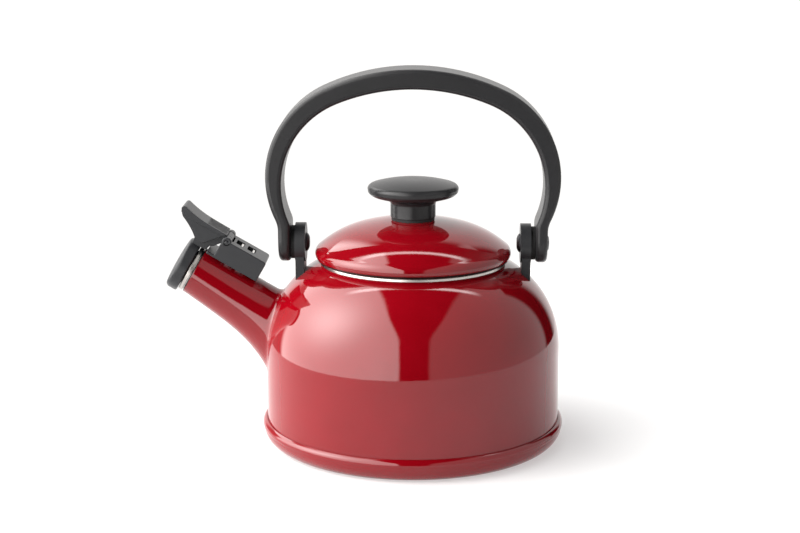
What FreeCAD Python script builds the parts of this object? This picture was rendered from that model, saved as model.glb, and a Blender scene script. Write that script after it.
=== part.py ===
"""Stovetop whistling kettle, millimetres, +Z up.

The origin is the centre of the flat base. The spout points along -X. The handle turns about an
axis along X, and the whistle flap about an axis along Y.
"""
import FreeCAD, Part
import math
import os
import Sketcher
from FreeCAD import Placement, Rotation, Vector

doc = FreeCAD.newDocument("WhistlingKettle")

# ---------------------------------------------------------------- driving dimensions

DIMENSIONS = {
    # body and base
    "wall_radius": 78.1,
    "dome_foot_height": 51.0,
    "dome_arc": 50.0,
    "enamel_sheet": 1.5,
    "wall_bottom": 6.2,
    "bead_radius": 80.0,
    "bead_height": 8.4,
    "bead_top": 12.4,
    "foot_radius": 72.5,
    # opening
    "opening_radius": 47.2,
    "rim_ring_radius": 49.3,
    "rim_top": 98.0,
    # lid
    "lid_rim_radius": 51.9,
    "lid_rim_height": 101.8,
    "lid_edge_radius": 50.5,
    "lid_edge_height": 98.2,
    "lid_shoulder_radius": 49.5,
    "lid_shoulder_height": 105.2,
    "lid_crown_radius": 30.0,
    "lid_crown_height": 115.5,
    "lid_top": 119.5,
    "lid_crown_arc": 112.0,
    "lid_shoulder_arc": 52.0,
    "lid_rim_arc": 4.6,
    "lid_sheet": 1.3,
    "skirt_radius": 45.8,
    "skirt_bottom": 91.0,
    "ring_sheet": 0.8,
    # knob
    "knob_radius": 24.0,
    "knob_top": 140.5,
    "knob_seat": 120.4,
    "stem_radius": 11.9,
    "knob_screw_radius": 2.0,
    # spout, measured along its own axis and across it
    "spout_tilt": 60.0,
    "spout_top_line": 33.7,
    "spout_mouth": 146.2,
    "mouth_radius": 13.0,
    "spout_middle": 130.0,
    "middle_radius": 13.9,
    "spout_lower": 115.0,
    "lower_radius": 14.95,
    "spout_neck": 102.0,
    "neck_radius": 16.6,
    "spout_flare": 90.0,
    "flare_radius": 19.3,
    "spout_root": 78.0,
    "root_radius": 23.4,
    "mouth_bore": 10.4,
    "mouth_ring_end": 149.0,
    # handle
    "pivot_height": 106.4,
    "grip_top": 199.0,
    "grip_inner_top": 188.6,
    "grip_reach": 76.9,
    "grip_inner_reach": 68.6,
    "grip_widest": 142.0,
    "grip_inner_widest": 137.3,
    "grip_side_arc": 51.3,
    "grip_inner_side_arc": 47.1,
    "grip_outer_blend": 14.0,
    "grip_inner_blend": 10.0,
    "grip_half_width": 12.0,
    "grip_bottom": 96.3,
    "grip_rounding": 2.2,
    "grip_end_outer": 70.6,
    "grip_end_inner": 64.3,
    "lug_radius": 10.4,
    "lug_outer": 62.1,
    "lug_inner": 56.6,
    "pivot_screw_shank": 2.45,
    "pivot_bush_bore": 2.5,
    "pivot_bush_radius": 4.0,
    "pivot_washer_radius": 8.8,
    "screw_head_radius": 4.4,
    "head_seat_radius": 4.9,
    "head_sink_left": 2.5,
    "head_sink_right": 1.3,
    # whistle
    "hinge_along": 138.6,
    "hinge_across": 44.8,
    "hinge_pin_radius": 1.0,
    "knuckle_bore": 1.05,
    "knuckle_radius": 2.4,
    "ear_radius": 2.5,
    "knuckle_half_width": 5.4,
    "housing_half_width": 10.6,
    "housing_back": 115.0,
    "housing_front": 141.0,
    "housing_top": 45.4,
    "housing_bottom": 34.0,
    "tongue_top": 35.6,
    "tongue_end": 145.3,
    "flap_inner_face": 149.4,
    "flap_outer_face": 155.8,
    "flap_radius": 14.6,
    "lever_half_width": 8.4,
}

sheet = doc.addObject("Spreadsheet::Sheet", "Dims")
for row, (alias, size) in enumerate(DIMENSIONS.items(), start=1):
    sheet.set(f"A{row}", alias)
    sheet.set(f"B{row}", str(size))
    sheet.setAlias(f"B{row}", alias)
doc.recompute()


def bound(expression):
    """The expression with every dimension's name pointing at its spreadsheet cell."""
    words = expression
    for alias in sorted(DIMENSIONS, key=len, reverse=True):
        words = words.replace(alias, f"Dims.<<{alias}>>")
    return words.replace("<<", "").replace(">>", "")


def value(expression):
    return float(sheet.evalExpression(bound(expression)))


def bind(thing, **sizes):
    """Bind properties to expressions of the sheet; a dot in a property's path is written __."""
    for name, expression in sizes.items():
        thing.setExpression(name.replace("__", "."), bound(expression))
    return thing


SPOUT_FRAME = Placement(Vector(0, 0, 0), Rotation(Vector(0, 1, 0), -value("spout_tilt")))
ALONG_Y = Rotation(Vector(1, 0, 0), -90)
SEAM_BELOW = Rotation(Vector(0, 0, 1), 180)


# ---------------------------------------------------------------- sketch and solid helpers

def sketch_on(body, plane, name):
    sketch = body.newObject("Sketcher::SketchObject", name)
    support = [item for item in body.Origin.OriginFeatures if item.Role == plane][0]
    sketch.AttachmentSupport = (support, "")
    sketch.MapMode = "FlatFace"
    return sketch


def arc_between(start, end, radius):
    """Arc from start to end; a positive radius puts the centre on the left of the travel."""
    chord = end - start
    half = chord.Length / 2
    side = 1 if radius > 0 else -1
    reach = math.sqrt(max(radius * radius - half * half, 0))
    normal = Vector(-chord.y, chord.x, 0).normalize() * (side * reach)
    centre = (start + end) * 0.5 + normal
    first, last = (start, end) if side > 0 else (end, start)
    circle = Part.Circle(centre, Vector(0, 0, 1), abs(radius))
    return Part.ArcOfCircle(circle, circle.parameter(first), circle.parameter(last))


def pin_vertex(sketch, segment, end, across, up):
    """Fix one vertex to two expressions; a zero puts it on the sketch's axis."""
    for kind, axis, expression in (("DistanceX", -2, across), ("DistanceY", -1, up)):
        size = value(expression)
        if abs(size) < 1e-9:
            sketch.addConstraint(Sketcher.Constraint("PointOnObject", segment, end, axis))
        else:
            number = sketch.addConstraint(Sketcher.Constraint(kind, -1, 1, segment, end, size))
            sketch.setExpression(f"Constraints[{number}]", bound(expression))


def closed_outline(sketch, corners):
    """Closed outline through corners, each (across, up) or (across, up, radius of the next side)."""
    points = [Vector(value(corner[0]), value(corner[1]), 0) for corner in corners]
    starts = []
    for number, corner in enumerate(corners):
        here = points[number]
        there = points[(number + 1) % len(points)]
        if len(corner) == 2:
            sketch.addGeometry(Part.LineSegment(here, there))
            starts.append(1)
        else:
            radius = value(corner[2])
            sketch.addGeometry(arc_between(here, there, radius))
            starts.append(1 if radius > 0 else 2)
    for number, corner in enumerate(corners):
        after = (number + 1) % len(corners)
        joint = Sketcher.Constraint("Coincident", number, 3 - starts[number], after, starts[after])
        sketch.addConstraint(joint)
        pin_vertex(sketch, number, starts[number], corner[0], corner[1])
        if len(corner) == 3:
            size = abs(value(corner[2]))
            ring = sketch.addConstraint(Sketcher.Constraint("Radius", number, size))
            expression = corner[2] if value(corner[2]) > 0 else f"-({corner[2]})"
            sketch.setExpression(f"Constraints[{ring}]", bound(expression))
    return sketch


def reversed_face(face):
    """The same face walked the other way, so its arcs change sides."""
    walked = []
    for number in range(len(face) - 1, -1, -1):
        before = face[number - 1] if number > 0 else ()
        arc = (f"-({before[2]})",) if len(before) == 3 else ()
        walked.append(face[number][:2] + arc)
    return walked


def mirrored(half):
    """The half outline on the other side of the Z axis, walked backwards; its arcs keep their sides."""
    walked = []
    for number in range(len(half) - 1, -1, -1):
        arc = half[number - 1][2:] if number > 0 else ()
        walked.append((f"-({half[number][0]})", half[number][1]) + arc)
    return walked


def turned(label, corners, place=Placement()):
    """PartDesign body revolved about its Z axis from a half outline of (radius, height) corners."""
    body = doc.addObject("PartDesign::Body", label)
    body.Label = label
    sketch = closed_outline(sketch_on(body, "XZ_Plane", f"{label}_outline"), corners)
    turn = body.newObject("PartDesign::Revolution", f"{label}_turn")
    turn.Profile = sketch
    turn.ReferenceAxis = (sketch, ["V_Axis"])
    turn.Angle = 360
    body.Placement = place
    return body


def plate(label, plane, corners, thickness, place=Placement()):
    """PartDesign body padded to both sides of a plane through the body's origin."""
    body = doc.addObject("PartDesign::Body", label)
    body.Label = label
    sketch = closed_outline(sketch_on(body, plane, f"{label}_outline"), corners)
    pad = body.newObject("PartDesign::Pad", f"{label}_pad")
    pad.Profile = sketch
    pad.SideType = "Symmetric"
    bind(pad, Length=thickness)
    body.Placement = place
    return body


def cylinder(name, radius, length, base, turn=Rotation(), frame=Placement()):
    rod = doc.addObject("Part::Cylinder", name)
    bind(rod, Radius=radius, Height=length)
    corner = Vector(*[value(part) for part in base])
    rod.Placement = frame.multiply(Placement(corner, turn))
    return rod


def block(name, low, high, frame=Placement()):
    box = doc.addObject("Part::Box", name)
    bind(box, Length=f"({high[0]})-({low[0]})", Width=f"({high[1]})-({low[1]})",
         Height=f"({high[2]})-({low[2]})")
    corner = Vector(*[value(part) for part in low])
    box.Placement = frame.multiply(Placement(corner, Rotation()))
    return box


def cut(label, base, *tools):
    """Cut each tool from the base in turn; the last cut carries the label."""
    result = base
    for number, tool in enumerate(tools):
        last = number == len(tools) - 1
        step = doc.addObject("Part::Cut", label if last else f"{label}_cut_{number}")
        step.Base = result
        step.Tool = tool
        result = step
    result.Label = label
    return result


def fused(label, *shapes):
    join = doc.addObject("Part::MultiFuse", label)
    join.Shapes = list(shapes)
    join.Refine = True
    join.Label = label
    return join


def common(label, first, second):
    both = doc.addObject("Part::MultiCommon", label)
    both.Shapes = [first, second]
    both.Label = label
    return both


def rounded(label, base, radius, wanted):
    """Fillet every edge of base that the test wanted() picks."""
    doc.recompute()
    size = value(radius)
    picked = [n for n, edge in enumerate(base.Shape.Edges, start=1) if wanted(edge)]
    fillet = doc.addObject("Part::Fillet", label)
    fillet.Base = base
    fillet.Edges = [(n, size, size) for n in picked]
    fillet.Label = label
    return fillet


parts = []


def keep(*made):
    parts.extend(made)


# ---------------------------------------------------------------- body

def dome_point(radius, inset="0"):
    """Height of the dome's outer face, or of a face inset from it, at a radius."""
    reach = f"(dome_arc-{inset})"
    run = f"({radius}-(wall_radius-dome_arc))"
    return f"dome_foot_height+sqrt({reach}^2-{run}^2)"


body_solid = turned("body_solid", [
    ("0", "wall_bottom"),
    ("wall_radius", "wall_bottom"),
    ("wall_radius", "dome_foot_height", "dome_arc"),
    ("opening_radius", dome_point("opening_radius")),
    ("0", dome_point("opening_radius")),
])

shell_turned = turned("shell_turned", [
    ("wall_radius-enamel_sheet", "wall_bottom"),
    ("wall_radius", "wall_bottom"),
    ("wall_radius", "dome_foot_height", "dome_arc"),
    ("opening_radius", dome_point("opening_radius")),
    ("opening_radius", dome_point("opening_radius", "enamel_sheet"), "-(dome_arc-enamel_sheet)"),
    ("wall_radius-enamel_sheet", "dome_foot_height"),
])

base_pan = turned("base_pan", [
    ("0", "0"),
    ("foot_radius", "0", "9"),
    ("bead_radius", "bead_height", "2.9"),
    ("wall_radius+0.35", "bead_top"),
    ("wall_radius+0.02", "bead_top-0.1"),
    ("wall_radius+0.02", "wall_bottom"),
    ("wall_radius-enamel_sheet", "wall_bottom", "-6.5"),
    ("foot_radius-1", "enamel_sheet"),
    ("0", "enamel_sheet"),
])

body_rim_ring = turned("body_rim_ring", [
    ("opening_radius-ring_sheet", "rim_top-4.5"),
    ("opening_radius-0.05", "rim_top-4.5"),
    ("opening_radius-0.05", dome_point("opening_radius")),
    ("opening_radius", dome_point("opening_radius"), "-dome_arc"),
    ("rim_ring_radius", dome_point("rim_ring_radius")),
    ("rim_ring_radius", "rim_top-0.7", "0.7"),
    ("rim_ring_radius-0.7", "rim_top"),
    ("opening_radius-ring_sheet", "rim_top"),
])
keep(base_pan, body_rim_ring)


# ---------------------------------------------------------------- spout

SPOUT_STATIONS = [
    ("spout_mouth", "mouth_radius"),
    ("spout_middle", "middle_radius"),
    ("spout_lower", "lower_radius"),
    ("spout_neck", "neck_radius"),
    ("spout_flare", "flare_radius"),
    ("spout_root", "root_radius"),
]


def spout_loft(name, inset):
    """Loft through the spout's circles, which all touch its straight top line."""
    rings = []
    for number, (along, radius) in enumerate(SPOUT_STATIONS):
        ring = doc.addObject("Part::Circle", f"{name}_ring_{number}")
        bind(ring, Radius=f"{radius}-{inset}")
        middle = Vector(value(f"spout_top_line-{radius}"), 0, value(along))
        ring.Placement = Placement(middle, SEAM_BELOW)
        rings.append(ring)
    loft = doc.addObject("Part::Loft", name)
    loft.Sections = rings
    loft.Solid = True
    loft.Ruled = False
    loft.Placement = SPOUT_FRAME
    return loft


spout_outside = spout_loft("spout_outside", "0")
spout_inside = spout_loft("spout_inside", "enamel_sheet")
body_shell = cut("body_shell", shell_turned, spout_inside)
spout = cut("spout", spout_outside, spout_inside, body_solid)

mouth_middle = Vector(value("spout_top_line-mouth_radius"), 0, 0)
mouth_place = SPOUT_FRAME.multiply(Placement(mouth_middle, Rotation()))
spout_rim_ring = turned("spout_rim_ring", [
    ("mouth_bore", "spout_mouth-7"),
    ("mouth_bore+0.8", "spout_mouth-7"),
    ("mouth_bore+0.8", "spout_mouth+0.1"),
    ("mouth_radius-1", "spout_mouth+0.1"),
    ("mouth_radius-1", "spout_mouth+0.7"),
    ("mouth_radius-0.1", "spout_mouth+0.7"),
    ("mouth_radius-0.1", "mouth_ring_end-0.6", "0.6"),
    ("mouth_radius-0.7", "mouth_ring_end"),
    ("mouth_bore", "mouth_ring_end"),
], mouth_place)
keep(body_shell, spout, spout_rim_ring)


# ---------------------------------------------------------------- lid and knob

def lid_face(inset):
    """Outer face of the lid, or the face inset from it, from the edge to the top."""
    return [
        (f"lid_edge_radius-{inset}", "lid_edge_height"),
        (f"lid_rim_radius-{inset}", "lid_rim_height", f"lid_rim_arc-{inset}"),
        (f"lid_shoulder_radius-{inset}*0.75", f"lid_shoulder_height-{inset}*0.7",
         f"lid_shoulder_arc-{inset}"),
        (f"lid_crown_radius-{inset}*0.2", f"lid_crown_height-{inset}", f"lid_crown_arc-{inset}"),
        ("knob_screw_radius+0.2", f"lid_top-{inset}"),
    ]


lid_shell = turned("lid_shell", lid_face("0") + reversed_face(lid_face("lid_sheet")))

lid_seat_ring = turned("lid_seat_ring", [
    ("skirt_radius-ring_sheet", "skirt_bottom"),
    ("skirt_radius", "skirt_bottom"),
    ("skirt_radius", "rim_top+0.05"),
    ("lid_edge_radius-lid_sheet", "rim_top+0.05"),
    ("lid_edge_radius-lid_sheet", "rim_top+0.05+ring_sheet"),
    ("skirt_radius-ring_sheet", "rim_top+0.05+ring_sheet"),
])

gasket_blank = turned("gasket_blank", [
    ("knob_screw_radius+0.1", "lid_top-1.5"),
    ("stem_radius-0.5", "lid_top-1.5"),
    ("stem_radius-0.5", "knob_seat"),
    ("knob_screw_radius+0.1", "knob_seat"),
])
lid_solid = turned("lid_solid", lid_face("0") + [("0", "lid_top"), ("0", "lid_edge_height")])
knob_gasket = cut("knob_gasket", gasket_blank, lid_solid)

knob = turned("knob", [
    ("4", "knob_seat"),
    ("stem_radius", "knob_seat"),
    ("stem_radius", "knob_top-13.2", "-3"),
    ("stem_radius+2.4", "knob_top-10.7"),
    ("knob_radius-3.4", "knob_top-8.9", "5"),
    ("knob_radius-0.3", "knob_top-6.7"),
    ("knob_radius", "knob_top-4.9", "2.6"),
    ("knob_radius-1.8", "knob_top-2.8", "67"),
    ("3", "knob_top"),
    ("0", "knob_top"),
    ("0", "knob_seat+9"),
    ("4", "knob_seat+9"),
])
knob_insert = turned("knob_insert", [
    ("knob_screw_radius", "knob_seat"),
    ("4", "knob_seat"),
    ("4", "knob_seat+9"),
    ("knob_screw_radius", "knob_seat+9"),
])
washer_top = "lid_top-lid_sheet-0.2"
knob_washer = turned("knob_washer", [
    ("knob_screw_radius+0.1", f"{washer_top}-0.8"),
    ("6", f"{washer_top}-0.8"),
    ("6", washer_top),
    ("knob_screw_radius+0.1", washer_top),
])
knob_screw = turned("knob_screw", [
    ("0", f"{washer_top}-2.2"),
    ("1", f"{washer_top}-2.2"),
    ("1", f"{washer_top}-3.4"),
    ("2.6", f"{washer_top}-3.4", "1.4"),
    ("4", f"{washer_top}-2"),
    ("4", f"{washer_top}-0.8"),
    ("knob_screw_radius", f"{washer_top}-0.8"),
    ("knob_screw_radius", "knob_seat+7.5"),
    ("0", "knob_seat+7.5"),
])
keep(lid_shell, lid_seat_ring, knob_gasket, knob, knob_insert, knob_washer, knob_screw)


# ---------------------------------------------------------------- handle and its pivots

def arch_face(top, reach, widest, side_arc, end, blend):
    """One side of an arch from its end to its top: end line, blend, side arc and crown arc.

    The side arc's centre is at the height called widest, and every join is tangent.
    """
    middle = f"({reach}-{side_arc})"
    rise = f"({top}-{widest})"
    crown_arc = f"(({middle}^2+{rise}^2-{side_arc}^2)/(2*({rise}-{side_arc})))"
    share = f"({crown_arc}/({crown_arc}-{side_arc}))"
    blend_run = f"({end}+{blend}-{middle})"
    blend_drop = f"sqrt(({side_arc}+{blend})^2-{blend_run}^2)"
    blend_share = f"({side_arc}/({side_arc}+{blend}))"
    return [
        (end, "grip_bottom-1"),
        (end, f"{widest}-{blend_drop}", f"-{blend}"),
        (f"{middle}+{blend_run}*{blend_share}", f"{widest}-{blend_drop}*{blend_share}", side_arc),
        (f"{middle}*{share}", f"{top}-{crown_arc}+({widest}-{top}+{crown_arc})*{share}", crown_arc),
        ("0", top),
    ]


outer_face = arch_face("grip_top", "grip_reach", "grip_widest", "grip_side_arc", "grip_end_outer",
                       "grip_outer_blend")
inner_face = arch_face("grip_inner_top", "grip_inner_reach", "grip_inner_widest",
                       "grip_inner_side_arc", "grip_end_inner", "grip_inner_blend")
outer_arch = outer_face[:-1] + mirrored(outer_face)
inner_arch = inner_face[:-1] + mirrored(inner_face)
grip_outline = outer_arch + reversed_face(inner_arch)
grip_arch = plate("grip_arch", "XZ_Plane", grip_outline, "grip_half_width*2")
grip_side = plate("grip_side", "YZ_Plane", [
    ("-grip_half_width", "grip_bottom+grip_half_width", "grip_half_width"),
    ("0", "grip_bottom", "grip_half_width"),
    ("grip_half_width", "grip_bottom+grip_half_width"),
    ("grip_half_width", "grip_top+3"),
    ("-grip_half_width", "grip_top+3"),
], "grip_reach*2+10")
grip_sharp = common("grip_sharp", grip_arch, grip_side)


def is_rim(edge):
    """The grip's long rims; its level lines are smooth joins between faces."""
    straight = isinstance(edge.Curve, Part.Line)
    return not (straight and edge.BoundBox.ZLength < 0.1)


grip_blank = rounded("grip_blank", grip_sharp, "grip_rounding", is_rim)

grip_cuts = []
for side, name in ((-1, "left"), (1, "right")):
    outward = Rotation(Vector(0, 1, 0), 90 * side)
    axis_place = Placement(Vector(0, 0, value("pivot_height")), outward)
    grip_start = ("0", "0", "grip_end_inner")
    before_grip = ("0", "0", "grip_end_inner-3")
    bush_seat = cylinder(f"bush_seat_{name}", "pivot_bush_radius", "14", before_grip,
                         frame=axis_place)
    seat_floor = f"grip_end_outer-head_sink_{name}"
    head_seat = cylinder(f"head_seat_{name}", "head_seat_radius", "8", ("0", "0", seat_floor),
                         frame=axis_place)
    grip_cuts += [bush_seat, head_seat]
    bush_blank = cylinder(f"bush_blank_{name}", "pivot_bush_radius",
                          f"{seat_floor}-grip_end_inner", grip_start, frame=axis_place)
    bush_bore = cylinder(f"bush_bore_{name}", "pivot_bush_bore", "14", before_grip,
                         frame=axis_place)
    bush = cut(f"pivot_bush_{name}", bush_blank, bush_bore)

    washer = turned(f"pivot_washer_{name}", [
        ("pivot_screw_shank", "lug_outer"),
        ("pivot_washer_radius", "lug_outer"),
        ("pivot_washer_radius", "grip_end_inner-0.1"),
        ("pivot_screw_shank", "grip_end_inner-0.1"),
    ], axis_place)
    screw = turned(f"pivot_screw_{name}", [
        ("0", "lug_inner-1.4"),
        ("pivot_screw_shank", "lug_inner-1.4"),
        ("pivot_screw_shank", f"{seat_floor}+0.1"),
        ("screw_head_radius", f"{seat_floor}+0.1"),
        ("screw_head_radius", f"{seat_floor}+1", "1.6"),
        ("3", f"{seat_floor}+2.3"),
        ("1.2", f"{seat_floor}+2.5"),
        ("1.2", f"{seat_floor}+1.3"),
        ("0", f"{seat_floor}+1.3"),
    ], axis_place)
    nut = turned(f"pivot_nut_{name}", [
        ("0", "lug_inner-2"),
        ("2.5", "lug_inner-1.9", "4.5"),
        ("4.9", "lug_inner-0.6"),
        ("4.9", "lug_inner"),
        ("pivot_screw_shank", "lug_inner"),
        ("pivot_screw_shank", "lug_inner-1.4"),
        ("0", "lug_inner-1.4"),
    ], axis_place)
    lug_plate = plate(f"lug_plate_{name}", "YZ_Plane", [
        ("-8", "80"),
        ("8", "80"),
        ("8", "pivot_height-6"),
        ("lug_radius", "pivot_height", "lug_radius"),
        ("0", "pivot_height+lug_radius", "lug_radius"),
        ("-lug_radius", "pivot_height"),
        ("-8", "pivot_height-6"),
    ], "4.6", Placement(Vector(side * value("lug_outer-2.6"), 0, 0), Rotation()))
    lug_head = cylinder(f"lug_head_{name}", "lug_radius", "lug_outer-lug_inner",
                        ("0", "0", "lug_inner"), frame=axis_place)
    lug_blank = fused(f"lug_blank_{name}", lug_plate, lug_head)
    lug_bore = cylinder(f"lug_bore_{name}", "pivot_screw_shank", "12",
                        ("0", "0", "lug_inner-3"), frame=axis_place)
    lug = cut(f"handle_bracket_{name}", lug_blank, lug_bore, body_solid)
    keep(bush, washer, screw, nut, lug)

handle_grip = cut("handle_grip", grip_blank, *grip_cuts)
keep(handle_grip)


# ---------------------------------------------------------------- whistle housing and clip

# These pieces are drawn in the spout's frame: across the spout (X), sideways (Y), along it (Z).

def across_plate(label, corners, half_width):
    """Plate whose outline is given as (across, along) the spout, about its middle plane."""
    return plate(label, "XZ_Plane", corners, f"2*({half_width})", SPOUT_FRAME)


def hinge_rod(name, radius, half_width):
    base = ("hinge_across", f"-({half_width})", "hinge_along")
    return cylinder(name, radius, f"2*({half_width})", base, ALONG_Y, SPOUT_FRAME)


housing_outline = [
    ("housing_bottom", "housing_back"),
    ("housing_top-1.5", "housing_back", "1.5"),
    ("housing_top", "housing_back+1.5"),
    ("housing_top", "hinge_along+0.4"),
    ("hinge_across-2.5", "housing_front"),
    ("tongue_top", "housing_front"),
    ("tongue_top", "tongue_end"),
    ("housing_bottom", "tongue_end"),
]
housing_block = across_plate("housing_block", housing_outline, "housing_half_width")
ear_rod = hinge_rod("ear_rod", "ear_radius", "housing_half_width")
housing_solid = fused("housing_solid", housing_block, ear_rod)
housing_cavity = block("housing_cavity", ("20", "-7.6", "housing_back+1.8"),
                       ("housing_top-1.9", "7.6", "hinge_along-3"), SPOUT_FRAME)
knuckle_notch = block("knuckle_notch",
                      ("hinge_across-4.9", "-(knuckle_half_width+0.3)", "hinge_along-3.2"),
                      ("housing_top+4", "knuckle_half_width+0.3", "housing_front+4"), SPOUT_FRAME)
front_slot = block("front_slot", ("housing_top-4", "-4.2", "129.4"),
                   ("housing_top+4", "4.2", "134"), SPOUT_FRAME)
back_slot = block("back_slot", ("housing_top-4", "-4.2", "122.6"),
                  ("housing_top+4", "4.2", "127.4"), SPOUT_FRAME)
pin_seat = hinge_rod("pin_seat", "hinge_pin_radius", "housing_half_width+2")
saddle_cut = spout_loft("saddle_cut", "0")
clip_outside = spout_loft("clip_outside", "(-0.9)")
clip_blank = block("clip_blank", ("24", "-4", "118"), ("spout_top_line+3", "4", "135.3"),
                   SPOUT_FRAME)
clip_band = common("clip_band", clip_blank, clip_outside)
tab_front = block("tab_front", ("31", "-3.2", "129.8"), ("housing_top-0.3", "3.2", "130.8"),
                  SPOUT_FRAME)
tab_back = block("tab_back", ("31", "-3.2", "123.2"), ("housing_top-0.3", "3.2", "124.2"),
                 SPOUT_FRAME)
clip_solid = fused("clip_solid", clip_band, tab_front, tab_back)
whistle_clip = cut("whistle_clip", clip_solid, saddle_cut)
whistle_housing = cut("whistle_housing", housing_solid, housing_cavity, knuckle_notch, front_slot,
                      back_slot, pin_seat)

spring_inner = "hinge_along-3.3"
detent_spring = across_plate("detent_spring", [
    ("spout_top_line+4.2", "131.1"),
    ("spout_top_line+0.95", "131.1"),
    ("spout_top_line+0.95", spring_inner),
    ("housing_top-2.1", spring_inner),
    ("housing_top-2.1", f"{spring_inner}-0.5"),
    ("spout_top_line+1.45", f"{spring_inner}-0.5"),
    ("spout_top_line+1.45", "131.6"),
    ("spout_top_line+4.2", "131.6"),
], "3.6")
flap_hinge_pin = hinge_rod("flap_hinge_pin", "hinge_pin_radius", "housing_half_width-1.2")
keep(whistle_housing, whistle_clip, detent_spring, flap_hinge_pin)


# ---------------------------------------------------------------- whistle flap

flap_cap = turned("flap_cap", [
    ("0", "flap_outer_face+0.8"),
    ("3", "flap_outer_face+0.8", "-75"),
    ("flap_radius-2.2", "flap_outer_face+0.2", "-2.4"),
    ("flap_radius", "flap_outer_face-2.2"),
    ("flap_radius", "flap_inner_face+0.8", "-0.8"),
    ("flap_radius-0.8", "flap_inner_face"),
    ("0", "flap_inner_face"),
], mouth_place)

lever_side = across_plate("lever_side", [
    ("38.6", "148.2"),
    ("37.0", "149.6"),
    ("37.4", "154"),
    ("39.6", "156.6", "40"),
    ("44.4", "164.9", "-7"),
    ("48.6", "167.7", "-1.6"),
    ("50.2", "166", "60"),
    ("47.9", "152", "400"),
    ("47.7", "140.3"),
], "lever_half_width-1.2")
lever_top = across_plate("lever_top", [
    ("46.6", "167"),
    ("48.6", "167.9", "-1.6"),
    ("50.2", "166.2", "60"),
    ("47.9", "152", "400"),
    ("47.7", "140.3"),
    ("46", "141.8"),
    ("45.8", "152", "-62"),
], "lever_half_width")
neck = across_plate("neck", [
    ("28", "149.5"),
    ("28", "154.5"),
    ("37", "154.5"),
    ("40", "156"),
    ("46", "155"),
    ("47.3", "142"),
    ("hinge_across+1.9", "hinge_along+0.4"),
    ("hinge_across-1.8", "hinge_along+0.2"),
    ("38.2", "143.6"),
    ("37.2", "145.4"),
    ("34.3", "146.2"),
    ("34.3", "149.5"),
], "knuckle_half_width")
knuckle = hinge_rod("knuckle", "knuckle_radius", "knuckle_half_width")
flap_sharp = fused("flap_sharp", flap_cap, lever_side, lever_top, neck, knuckle)
flap_recess = cylinder("flap_recess", "11.2", "6", ("0", "0", "flap_inner_face"),
                       frame=mouth_place)
flap_vent = cylinder("flap_vent", "1.6", "14", ("0", "0", "flap_inner_face"), frame=mouth_place)
knuckle_hole = hinge_rod("knuckle_hole", "knuckle_bore", "knuckle_half_width+1")
whistle_flap = cut("whistle_flap", flap_sharp, flap_recess, flap_vent, knuckle_hole)

whistle_disc_outer = turned("whistle_disc_outer", [
    ("1.2", "flap_inner_face+5"),
    ("11.2", "flap_inner_face+5"),
    ("11.2", "flap_inner_face+5.6"),
    ("1.2", "flap_inner_face+5.6"),
], mouth_place)
whistle_disc_inner = turned("whistle_disc_inner", [
    ("1.2", "flap_inner_face-1.6"),
    ("8.2", "flap_inner_face-1.6", "1.2"),
    ("9.2", "flap_inner_face-0.9"),
    ("10", "flap_inner_face+0.4"),
    ("11.2", "flap_inner_face+0.4"),
    ("11.2", "flap_inner_face+1"),
    ("9.6", "flap_inner_face+1"),
    ("8.7", "flap_inner_face-0.6"),
    ("8", "flap_inner_face-1"),
    ("1.2", "flap_inner_face-1"),
], mouth_place)
keep(whistle_flap, whistle_disc_outer, whistle_disc_inner)


# ---------------------------------------------------------------- check and write

doc.recompute()
failed = [item.Name for item in doc.Objects if {"Invalid", "Error"} & set(item.State)]
if failed:
    raise RuntimeError(f"failed objects: {failed}")
for part in parts:
    if part.Shape.isNull() or not part.Shape.isValid():
        raise RuntimeError(f"bad shape: {part.Label}")
    if len(part.Shape.Solids) != 1:
        raise RuntimeError(f"{part.Label} is {len(part.Shape.Solids)} solids")

os.makedirs("parts", exist_ok=True)
for part in parts:
    part.Shape.exportStep(f"parts/{part.Label}.step")
    print(f"{part.Label:24s} {part.Shape.Volume:12.1f} mm3")
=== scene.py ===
"""Looks of the stovetop whistling kettle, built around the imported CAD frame. Metres, +Z up."""
import math

import bmesh
import bpy
from mathutils import Matrix, Vector


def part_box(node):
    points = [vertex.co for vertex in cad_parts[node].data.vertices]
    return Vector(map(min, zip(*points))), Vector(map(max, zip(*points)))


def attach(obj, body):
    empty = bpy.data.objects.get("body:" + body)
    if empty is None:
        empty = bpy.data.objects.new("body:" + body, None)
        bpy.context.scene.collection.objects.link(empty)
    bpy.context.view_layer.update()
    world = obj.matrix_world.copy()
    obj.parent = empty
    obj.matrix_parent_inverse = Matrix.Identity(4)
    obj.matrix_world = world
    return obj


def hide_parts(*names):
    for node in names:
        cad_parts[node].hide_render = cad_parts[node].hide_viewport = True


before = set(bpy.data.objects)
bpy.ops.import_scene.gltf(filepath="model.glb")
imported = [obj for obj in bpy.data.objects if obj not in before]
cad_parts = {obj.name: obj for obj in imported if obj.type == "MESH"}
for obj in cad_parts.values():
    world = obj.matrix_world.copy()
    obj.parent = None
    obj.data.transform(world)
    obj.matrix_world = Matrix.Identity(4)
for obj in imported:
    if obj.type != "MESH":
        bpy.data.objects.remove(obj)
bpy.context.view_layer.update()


scene = bpy.context.scene
MM = 0.001


def millimetres(node):
    """Lowest and highest corner of a CAD node in millimetres."""
    return [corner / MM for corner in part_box(node)]


# ---------------------------------------------------------------- sizes in millimetres

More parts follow.
